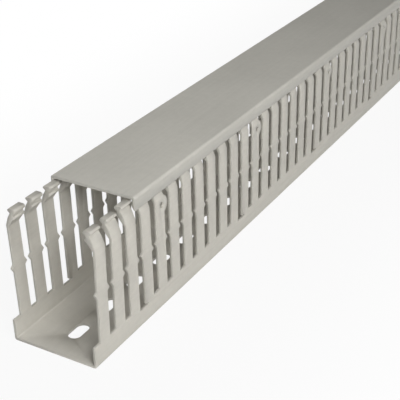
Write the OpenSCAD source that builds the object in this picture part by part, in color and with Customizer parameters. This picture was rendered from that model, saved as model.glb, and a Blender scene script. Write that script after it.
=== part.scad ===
// Slotted wire duct with its clip-on lid, lying on its base.
// X runs across the duct, Y along it and Z up. The origin is the middle of the duct's underside.

/* [Duct] */
// Length of the duct
duct_length = 1000; // [250:12.5:2000]
// Width over the outer faces of the walls
duct_width = 48; // [36:1:100]
// Height of the closed duct, from its underside to the top of the lid
closed_height = 72; // [68:1:110]
// Thickness of the side walls and fingers
wall = 1.5; // [1.3:0.1:2.2]
// Thickness of the base
base_thickness = 1.6; // [1.6:0.1:2.8]
// Radius of the two outer bottom edges
edge_radius = 1.4; // [0.4:0.1:1.5]
// Radius of the fillets between base and walls
inner_fillet = 0.8; // [0.3:0.1:1.5]

/* [Finger slots] */
// Distance from one slot to the next
pitch = 12.5; // [11:0.5:16]
// Width of a slot between two fingers
slot_width = 5; // [4:0.1:5.6]
// Height of the slot bottoms above the underside
slot_bottom = 11.8; // [8:0.2:20]

/* [Cable gates] */
// Height of the middle of the gates above the underside
gate_height = 38.2; // [30:0.2:44]
// How far a nib stands out of its finger
nib_reach = 1.6; // [1:0.1:1.8]
// Height of a nib at its root
nib_root = 4.2; // [3:0.1:5]
// Height of the steep side of a nib
nib_steep = 1.3; // [0.6:0.1:1.6]
// How far a nib's tip lies off the middle of the gate, towards its steep side
nib_tip_drop = 0.3; // [0:0.1:0.8]

/* [Snap heads] */
// Height of a head, from the notch under its barb to its top
head_height = 2.3; // [1.9:0.1:3]
// How far the notch under the barb lies inside the outer face
notch_inset = 3.2; // [2.9:0.1:3.6]
// How far the tip of the barb lies inside the outer face
barb_inset = 2; // [1.8:0.1:2.2]
// Height of the upright tip of the barb
barb_tip = 0.4; // [0.2:0.1:0.6]
// Height of the leaning neck, from the bend in the outer face to the notch
neck_height = 6.8; // [6:0.1:8]
// How much lower the inner face starts to lean than the outer one
inner_bend_drop = 0.6; // [0:0.1:1.2]
// How far the upper bead reaches in from the outer face
upper_bead_inset = 6.4; // [6:0.1:7.2]
// Radius of the upper bead
upper_bead_radius = 1.1; // [0.8:0.1:1.2]
// How far the lower bead reaches in from the outer face
lower_bead_inset = 5.6; // [5.2:0.1:5.9]
// Radius of the lower bead
lower_bead_radius = 0.9; // [0.6:0.1:1]
// Height of the head's top above the middle of the lower bead
lower_bead_drop = 4.6; // [3.6:0.1:5]

/* [Lugs] */
// One finger in this many carries a lug with a hole
lug_every = 8; // [4:1:16]
// The first finger with a lug, counted from the front
lug_first = 5; // [1:1:5]
// Height of the lug holes above the underside
lug_height = 57.5; // [50:0.5:58]
// How far the hole lies from the near edge of its finger
lug_hole_offset = 5.2; // [4:0.1:5.6]
// Diameter of the lug holes
lug_hole_diameter = 2.8; // [2:0.2:3.2]
// Radius of the round lug
lug_radius = 5; // [4.2:0.1:5.2]

/* [Break-off slots] */
// One slot in this many is cut deeper for breaking the wall out
break_every = 8; // [4:1:16]
// The first deeper slot, counted from the front
break_first = 3; // [1:1:4]
// How much deeper these slots are
break_depth = 2.4; // [1:0.2:3]
// Length of the side notch at their bottom
break_notch_length = 2.2; // [1:0.2:3.2]
// Height of the side notch
break_notch_height = 1.2; // [0.8:0.1:1.6]

/* [Mounting slots] */
// Length of a mounting slot
mounting_slot_length = 13; // [9:0.5:16]
// Width of a mounting slot
mounting_slot_width = 7; // [4:0.5:8]
// Distance from one mounting slot to the next
mounting_slot_spacing = 25; // [20:2.5:50]
// Distance from the front end to the middle of the first mounting slot
mounting_slot_first = 18.75; // [12.5:1.25:25]

/* [Lid] */
// Length of the lid
lid_length = 1000; // [250:12.5:2000]
// How far the lid is pushed back from the front end
lid_setback = 38; // [0:1:100]
// Thickness of the lid's top
lid_top = 1.6; // [1.2:0.1:2]
// Thickness of the lid's skirts
lid_skirt = 1.5; // [1.2:0.1:1.6]
// Height of the skirts, from the top of the lid to their lower edges
skirt_height = 7.2; // [7:0.1:8]
// Radius of the lid's two long upper edges
lid_edge_radius = 1.4; // [0.6:0.1:1.6]
// Gap between the lid's top and the heads it lies on
lid_seat_gap = 0.2; // [0.1:0.05:0.3]
// Gap between the lid's lips and the heads
snap_gap = 0.4; // [0.3:0.05:0.5]

/* [Hidden] */
$fn = 32;
// Overshoot of every cut past the faces it goes through
cut = 1;

// The front ends of the duct and of the lid
front = -duct_length / 2;
lid_front = front + lid_setback;

// The levels of a snap head, from the lid downwards
head_top = closed_height - lid_top - lid_seat_gap;
notch_level = head_top - head_height;
outer_bend = notch_level - neck_height;
inner_bend = outer_bend - inner_bend_drop;
// The barb's underside rises at 45 degrees from the notch to the tip
barb_level = notch_level + notch_inset - barb_inset;
// The middle of the neck's outer face is a shallow knee
knee_inset = notch_inset / 2;
knee_level = outer_bend + 0.62 * neck_height;
// The middles of the two beads
upper_bead = [upper_bead_inset - upper_bead_radius, head_top - upper_bead_radius];
lower_bead = [lower_bead_inset - lower_bead_radius, head_top - lower_bead_drop];

// Slot 0 starts at the front end, and finger 1 follows it
last_slot = ceil(duct_length / pitch) - 1;
finger_width = pitch - slot_width;
function slot_middle(i) = front + slot_width / 2 + i * pitch;
function is_every(i, first, every) = i >= first && (i - first) % every == 0;

// A solid whose outline is given in Y and Z, running across the whole duct
module across(run) {
  translate([-run / 2, 0, 0])
    rotate([90, 0, 90])
      linear_extrude(run)
        children();
}

// A solid whose section is given in X and Z, running along Y from a given end
module along(start, run) {
  translate([0, start, 0])
    rotate([90, 0, 0])
      mirror([0, 0, 1])
        linear_extrude(run)
          children();
}

// Both sides of a section: the right-hand one and its mirror image.
// The children are drawn with their x counted inwards from the outer face.
module both_sides(width) {
  for (side = [0, 1])
    mirror([side, 0])
      translate([width / 2, 0])
        mirror([1, 0])
          children();
}

// A quarter of a disc, the rounded lower outer corner of a section
module corner_section(radius) {
  intersection() {
    translate([radius, radius])
      circle(radius);
    square(radius);
  }
}

// One wall with its leaning neck, barb and inner beads
module wall_section() {
  polygon([
    [wall, edge_radius],
    [wall, inner_bend],
    [lower_bead.x, lower_bead.y - lower_bead_radius],
    lower_bead,
    upper_bead,
    [upper_bead.x, head_top],
    [barb_inset + head_top - barb_level - barb_tip, head_top],
    [barb_inset, barb_level + barb_tip],
    [barb_inset, barb_level],
    [notch_inset, notch_level],
    [knee_inset, knee_level],
    [0, outer_bend],
    [0, edge_radius]
  ]);
  translate(upper_bead)
    circle(upper_bead_radius);
  translate(lower_bead)
    circle(lower_bead_radius);
}

// The fillet between the base and one wall
module fillet_section() {
  difference() {
    translate([wall - cut / 10, base_thickness - cut / 10])
      square(inner_fillet + cut / 10);
    translate([wall + inner_fillet, base_thickness + inner_fillet])
      circle(inner_fillet);
  }
}

// The whole section of the duct before the slots are punched
module channel_section() {
  translate([edge_radius - duct_width / 2, 0])
    square([duct_width - 2 * edge_radius, base_thickness]);
  both_sides(duct_width) {
    wall_section();
    fillet_section();
    corner_section(edge_radius);
  }
}

// A nib on the left edge of a slot, its steep side below and its long slope above
module nib() {
  foot = -nib_tip_drop - nib_steep;
  polygon([
    [-cut, foot],
    [0, foot],
    [nib_reach, -nib_tip_drop],
    [0, foot + nib_root],
    [-cut, foot + nib_root]
  ]);
}

// The outline of one slot in Y and Z, about its middle line
module slot_outline(deeper) {
  bottom = slot_bottom - (deeper ? break_depth : 0);
  difference() {
    translate([-slot_width / 2, bottom])
      square([slot_width, closed_height - bottom]);
    for (turn = [0, 180])
      translate([0, gate_height])
        rotate(turn)
          translate([-slot_width / 2, 0])
            nib();
  }
  if (deeper)
    translate([0, bottom])
      square([slot_width / 2 + break_notch_length, break_notch_height]);
}

// The outline of the slot behind a lug, which rounds into it
module lug_slot_outline() {
  difference() {
    slot_outline(false);
    translate([lug_hole_offset - finger_width - slot_width / 2, lug_height])
      circle(lug_radius);
  }
}

// The near half of slot 0, which has no finger and no nib in front of it
module open_end_outline() {
  translate([-slot_width / 2 - cut, slot_bottom])
    square([slot_width / 2 + cut, closed_height - slot_bottom]);
}

// A mounting slot through the base, its length along Y
module mounting_slot() {
  radius = mounting_slot_width / 2;
  straight = mounting_slot_length - mounting_slot_width;
  for (end = [-1, 1])
    translate([0, end * straight / 2, -cut])
      cylinder(r = radius, h = base_thickness + 2 * cut);
  translate([-radius, -straight / 2, -cut])
    cube([mounting_slot_width, straight, base_thickness + 2 * cut]);
}

// The duct: one extruded channel with all its slots and holes punched
module slotted_channel() {
  through = duct_width + 2 * cut;
  // A mounting slot that would break out at the far end is left out
  mounting_last = duct_length - mounting_slot_length / 2 - slot_width;
  color([0.76, 0.75, 0.71])
    difference() {
      along(front, duct_length)
        channel_section();
      translate([0, slot_middle(0), 0])
        across(through)
          open_end_outline();
      for (i = [0:last_slot])
        translate([0, slot_middle(i), 0])
          across(through)
            if (is_every(i, lug_first, lug_every))
              lug_slot_outline();
            else
              slot_outline(is_every(i, break_first, break_every));
      for (i = [lug_first:lug_every:last_slot])
        translate([-through / 2, slot_middle(i) - pitch + slot_width / 2 + lug_hole_offset, lug_height])
          rotate([0, 90, 0])
            cylinder(d = lug_hole_diameter, h = through);
      for (y = [mounting_slot_first:mounting_slot_spacing:mounting_last])
        translate([0, front + y, 0])
          mounting_slot();
    }
}

// One skirt of the lid, with the lip that snaps in under the barbs
module skirt_section() {
  skirt_end = closed_height - skirt_height;
  // The lip keeps the snap gap to the neck below it and to the barb above it
  lip_inset = notch_inset - 1.6 * snap_gap;
  lip_level = notch_level - snap_gap / 2;
  polygon([
    [0, closed_height - lid_edge_radius],
    [0, skirt_end],
    [skirt_inset(skirt_end), skirt_end],
    [skirt_inset(knee_level), knee_level],
    [lip_inset, lip_level],
    [lid_skirt, lip_level + lip_inset - lid_skirt],
    [lid_skirt, closed_height - lid_edge_radius]
  ]);
}

// The inner face of the skirt's tapered end, a snap gap outside the neck's lower half
function skirt_inset(level) =
  knee_inset * (level - outer_bend) / (knee_level - outer_bend) - 1.1 * snap_gap;

// The section of the lid
module lid_section() {
  translate([lid_edge_radius - duct_width / 2, closed_height - lid_top])
    square([duct_width - 2 * lid_edge_radius, lid_top]);
  both_sides(duct_width) {
    skirt_section();
    translate([0, closed_height])
      mirror([0, 1])
        corner_section(lid_edge_radius);
  }
}

// The lid, one extruded piece
module snap_lid() {
  color([0.72, 0.71, 0.67])
    along(lid_front, lid_length)
      lid_section();
}

slotted_channel();
snap_lid();
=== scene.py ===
import math

import bmesh
import bpy
import numpy as np
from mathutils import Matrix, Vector


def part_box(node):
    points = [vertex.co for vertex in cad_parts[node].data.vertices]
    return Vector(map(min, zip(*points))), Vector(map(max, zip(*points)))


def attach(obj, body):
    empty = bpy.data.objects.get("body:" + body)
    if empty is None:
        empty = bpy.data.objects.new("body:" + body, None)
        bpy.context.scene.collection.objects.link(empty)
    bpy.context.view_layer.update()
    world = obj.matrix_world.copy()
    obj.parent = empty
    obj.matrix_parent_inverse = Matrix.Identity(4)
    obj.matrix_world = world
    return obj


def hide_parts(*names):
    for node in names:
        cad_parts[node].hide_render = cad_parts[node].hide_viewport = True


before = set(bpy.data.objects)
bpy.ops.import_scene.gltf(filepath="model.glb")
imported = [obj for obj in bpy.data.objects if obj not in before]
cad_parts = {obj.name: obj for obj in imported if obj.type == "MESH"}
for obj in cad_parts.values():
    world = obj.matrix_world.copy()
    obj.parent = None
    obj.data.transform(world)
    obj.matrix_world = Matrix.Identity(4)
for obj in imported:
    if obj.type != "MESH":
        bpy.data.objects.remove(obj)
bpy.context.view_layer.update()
duct_low, duct_high = (np.array(corner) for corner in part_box("slotted_channel"))

# The duct's pattern, in metres, as the part's source names it
PITCH = 0.0125
SLOT_WIDTH = 0.005
SLOT_BOTTOM = 0.0118
FRONT = float(duct_low[1])
# How far the first three fingers spring outwards at the top, and how far the others waver inwards
RIGHT_FREE_LEAN = [0.00125, 0.00115, 0.00030]
LEFT_FREE_LEAN = [0.00090, 0.00085, 0.00060]
WAVER = 0.00010
# Widths of the chamfers along the crisp edges
DUCT_CHAMFER = 0.00018
LID_CHAMFER = 0.00025


# ---------------------------------------------------------------- shader maths

class Flow:
    """A value, colour or vector on its way through a material's nodes."""

    def __init__(self, book, socket):
        self.book = book
        self.socket = socket

    def maths(self, operation, *others):
        values = {place: value for place, value in enumerate((self, *others))}
        return self.book.node("ShaderNodeMath", {"operation": operation}, values)

    def __add__(self, other):
        return self.maths("ADD", other)

    def __sub__(self, other):
        return self.maths("SUBTRACT", other)

    def __rsub__(self, other):
        return self.book.node("ShaderNodeMath", {"operation": "SUBTRACT"}, {0: other, 1: self})

    def __mul__(self, other):
        return self.maths("MULTIPLY", other)

    __radd__ = __add__
    __rmul__ = __mul__

    def between(self, low, high):
        """0 at low and 1 at high, smoothly in between."""
        return self.book.node("ShaderNodeMapRange", {"interpolation_type": "SMOOTHSTEP"},
                              {"Value": self, "From Min": low, "From Max": high})

    def tinted(self, low, high):
        """A colour between two, with this value as the share of the second."""
        return self.book.node("ShaderNodeMix", {"data_type": "RGBA"},
                              {0: self, 6: (*low, 1.0), 7: (*high, 1.0)}, 2)


class Book:
    """A material's node tree, filled one node at a time."""

    def __init__(self, name):
        self.material = bpy.data.materials.new(name)
        self.material.use_nodes = True
        self.tree = self.material.node_tree
        self.tree.nodes.clear()

    def node(self, kind, settings, values, outlet=0):
        made = self.tree.nodes.new(kind)
        for key, value in settings.items():
            setattr(made, key, value)
        for place, value in values.items():
            inlet = made.inputs[place]
            if isinstance(value, Flow):
                self.tree.links.new(value.socket, inlet)
            else:
                inlet.default_value = value
        return None if outlet is None else Flow(self, made.outputs[outlet])

    def stretched(self, scale):
        """Object coordinates, multiplied along each axis."""
        place = self.node("ShaderNodeTexCoord", {}, {}, "Object")
        return self.node("ShaderNodeMapping", {}, {"Vector": place, "Scale": scale})

    def noise(self, scale, size, detail=3.0, roughness=0.5):
        """Noise whose coordinates are stretched by a scale, with cells of one size in metres."""
        return self.node("ShaderNodeTexNoise", {},
                         {"Vector": self.stretched(scale), "Scale": 1.0 / size, "Detail": detail,
                          "Roughness": roughness})


def shaded(tone, share):
    return tuple(channel * share for channel in tone)


# ---------------------------------------------------------------- rigid PVC

def extruded_pvc(name, tone):
    """Rigid PVC as it leaves the extruder: a faint cloudy colour, die lines along Y, and a fine matt grain."""
    book = Book(name)
    even = (1.0, 1.0, 1.0)
    along_die = (1.0, 0.012, 1.0)
    cloud = book.noise(even, 0.035, 2.0)
    mottle = book.noise(even, 0.004, 4.0, 0.6)
    die_lines = book.noise(along_die, 0.0016, 3.0, 0.65)
    grain = book.noise(even, 0.00022, 2.0)
    specks = book.node("ShaderNodeTexVoronoi", {}, {"Vector": book.stretched(even), "Scale": 260.0})

    shade = (cloud * 0.30 + mottle * 0.34 + die_lines * 0.36).between(0.30, 0.70)
    colour = shade.tinted(shaded(tone, 0.945), shaded(tone, 1.055))
    dark_specks = (1.0 - specks.between(0.03, 0.16)) * mottle.between(0.56, 0.72) * 0.20
    colour = book.node("ShaderNodeMix", {"data_type": "RGBA"},
                       {0: dark_specks, 6: colour, 7: (*shaded(tone, 0.55), 1.0)}, 2)

    roughness = 0.40 + 0.10 * cloud + 0.10 * die_lines
    height = die_lines * 0.35 + grain * 0.25 + mottle * 0.4
    relief = book.node("ShaderNodeBump", {}, {"Height": height, "Strength": 0.30, "Distance": 0.00006}, "Normal")
    body = book.node("ShaderNodeBsdfPrincipled", {},
                     {"Base Color": colour, "Roughness": roughness, "Normal": relief,
                      "Specular IOR Level": 0.42})
    book.node("ShaderNodeOutputMaterial", {}, {"Surface": body}, None)
    return book.material


DUCT_TONE = (0.535, 0.515, 0.462)
LID_TONE = (0.505, 0.492, 0.446)
duct_pvc = extruded_pvc("duct_pvc", DUCT_TONE)
lid_pvc = extruded_pvc("lid_pvc", LID_TONE)


# ---------------------------------------------------------------- duct and lid with softened edges

def finger_lean(place):
    """How far each point stands out sideways, in metres.

    The free fingers in front of the lid spring outwards: the lean grows from the slot bottoms to the
    heads as a power of the height, and each finger has its own size. Behind the lid's front the fingers
    only waver inwards, by a hair, as two slow sines of Y.
    """
    y, z = place[:, 1], place[:, 2]
    side = np.sign(place[:, 0])
    rise = np.clip((z - SLOT_BOTTOM) / (duct_high[2] - SLOT_BOTTOM), 0.0, 1.0) ** 1.4
    finger = np.rint((y - FRONT - SLOT_WIDTH - (PITCH - SLOT_WIDTH) / 2) / PITCH).astype(int)
    waver = -WAVER * (1 + 0.6 * np.sin(y * 71.0 + side) + 0.4 * np.sin(y * 197.0 + 2.0 * side))
    last_free = len(RIGHT_FREE_LEAN) - 1
    first = np.clip(finger, 0, last_free)
    free = np.where(side > 0, np.take(RIGHT_FREE_LEAN, first), np.take(LEFT_FREE_LEAN, first))
    amount = np.where(finger <= last_free, free, waver)
    return side * rise * amount


def softened(name, source, width, lean=None):
    """The CAD node's shape merged into one skin, with every crisp edge turned into a narrow chamfer."""
    mesh = source.data.copy()
    mesh.name = name
    skin = bmesh.new()
    skin.from_mesh(mesh)
    bmesh.ops.remove_doubles(skin, verts=skin.verts, dist=1e-6)
    bmesh.ops.dissolve_limit(skin, angle_limit=math.radians(0.5), verts=skin.verts, edges=skin.edges)
    skin.to_mesh(mesh)
    skin.free()
    if lean is not None:
        place = np.empty(3 * len(mesh.vertices))
        mesh.vertices.foreach_get("co", place)
        place = place.reshape(-1, 3)
        place[:, 0] += lean(place)
        mesh.vertices.foreach_set("co", place.ravel())
        mesh.update()
    mesh.shade_smooth()
    piece = bpy.data.objects.new(name, mesh)
    bpy.context.scene.collection.objects.link(piece)
    chamfer = piece.modifiers.new("chamfer", "BEVEL")
    chamfer.width = width
    chamfer.segments = 1
    chamfer.limit_method = "ANGLE"
    chamfer.angle_limit = math.radians(28)
    chamfer.use_clamp_overlap = False
    chamfer.harden_normals = True
    return piece


duct_skin = softened("duct_skin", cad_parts["slotted_channel"], DUCT_CHAMFER, finger_lean)
lid_skin = softened("lid_skin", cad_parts["snap_lid"], LID_CHAMFER)
for piece, body, node, material in ((duct_skin, "duct", "slotted_channel", duct_pvc),
                                    (lid_skin, "lid", "snap_lid", lid_pvc)):
    piece.data.materials.clear()
    piece.data.materials.append(material)
    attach(piece, body)
    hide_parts(node)


# ---------------------------------------------------------------- floor, light and camera

def studio_floor():
    """A plain pale floor: white to the camera away from the duct, with the duct's soft shadow close to it."""
    mesh = bpy.data.meshes.new("studio_floor")
    mesh.from_pydata([(-5, -5, 0), (5, -5, 0), (5, 5, 0), (-5, 5, 0)], [], [(0, 1, 2, 3)])
    floor = bpy.data.objects.new("studio_floor", mesh)
    bpy.context.scene.collection.objects.link(floor)
    book = Book("pale_floor")
    place = book.node("ShaderNodeTexCoord", {}, {}, "Object")
    across = book.node("ShaderNodeSeparateXYZ", {}, {"Vector": place}, "X").maths("ABSOLUTE")
    path = book.node("ShaderNodeLightPath", {}, {}, "Is Camera Ray")
    glossy = book.node("ShaderNodeLightPath", {}, {}, "Is Glossy Ray")
    seen = path.maths("MAXIMUM", glossy)
    matt = book.node("ShaderNodeBsdfDiffuse", {}, {"Color": (0.7, 0.7, 0.7, 1.0)})
    white = book.node("ShaderNodeEmission", {}, {"Color": (1.0, 1.0, 1.0, 1.0), "Strength": 1.0})
    share = seen * (0.91 + 0.09 * across.between(0.05, 0.25))
    surface = book.node("ShaderNodeMixShader", {}, {0: share, 1: matt, 2: white})
    book.node("ShaderNodeOutputMaterial", {}, {"Surface": surface}, None)
    mesh.materials.append(book.material)


def soft_lamp(name, place, aim, size, power):
    data = bpy.data.lights.new(name, "AREA")
    data.shape = "DISK"
    data.size = size
    data.energy = power
    lamp = bpy.data.objects.new(name, data)
    lamp.location = place
    lamp.rotation_euler = (Vector(aim) - Vector(place)).to_track_quat("-Z", "Y").to_euler()
    bpy.context.scene.collection.objects.link(lamp)


def studio_world(strength):
    """White where the camera looks past the floor, and a plain level of light on the object."""
    world = bpy.data.worlds.new("studio")
    bpy.context.scene.world = world
    world.use_nodes = True
    tree = world.node_tree
    tree.nodes.clear()
    rays = tree.nodes.new("ShaderNodeLightPath")
    level = tree.nodes.new("ShaderNodeMapRange")
    level.inputs["To Min"].default_value = strength
    level.inputs["To Max"].default_value = 1.0
    sky = tree.nodes.new("ShaderNodeBackground")
    sky.inputs["Color"].default_value = (1.0, 1.0, 1.0, 1.0)
    out = tree.nodes.new("ShaderNodeOutputWorld")
    tree.links.new(rays.outputs["Is Camera Ray"], level.inputs["Value"])
    tree.links.new(level.outputs["Result"], sky.inputs["Strength"])
    tree.links.new(sky.outputs["Background"], out.inputs["Surface"])


studio_floor()
AIM = (0.0, -0.40, 0.04)
LAMPS = (
    ("side_lamp", (1.3, -0.62, 0.42), 0.6, 4.2),
    ("high_lamp", (0.9, -0.7, 1.1), 0.7, 2.3),
    ("front_lamp", (0.1, -1.6, 0.7), 0.7, 2.8),
    ("near_lamp", (0.55, -0.82, 0.55), 0.35, 3.6),
    ("left_lamp", (-1.3, -0.2, 0.22), 0.8, 7.0),
    ("back_lamp", (0.5, 1.9, 0.22), 0.8, 6.0),
)
for name, place, size, power in LAMPS:
    soft_lamp(name, place, AIM, size, power)
studio_world(0.10)

lens = bpy.data.cameras.new("studio_camera")
camera = bpy.data.objects.new("studio_camera", lens)
bpy.context.scene.collection.objects.link(camera)
bpy.context.scene.camera = camera
camera.location = (0.24410, -0.77208, 0.27669)
camera.rotation_euler = [math.radians(angle) for angle in (60.5779, -0.0174, 28.4027)]
lens.sensor_width = 36
lens.lens = 85.039
lens.shift_x = -0.09035
lens.shift_y = 0.03356
lens.clip_start = 0.02

bpy.context.scene.view_settings.view_transform = "Standard"
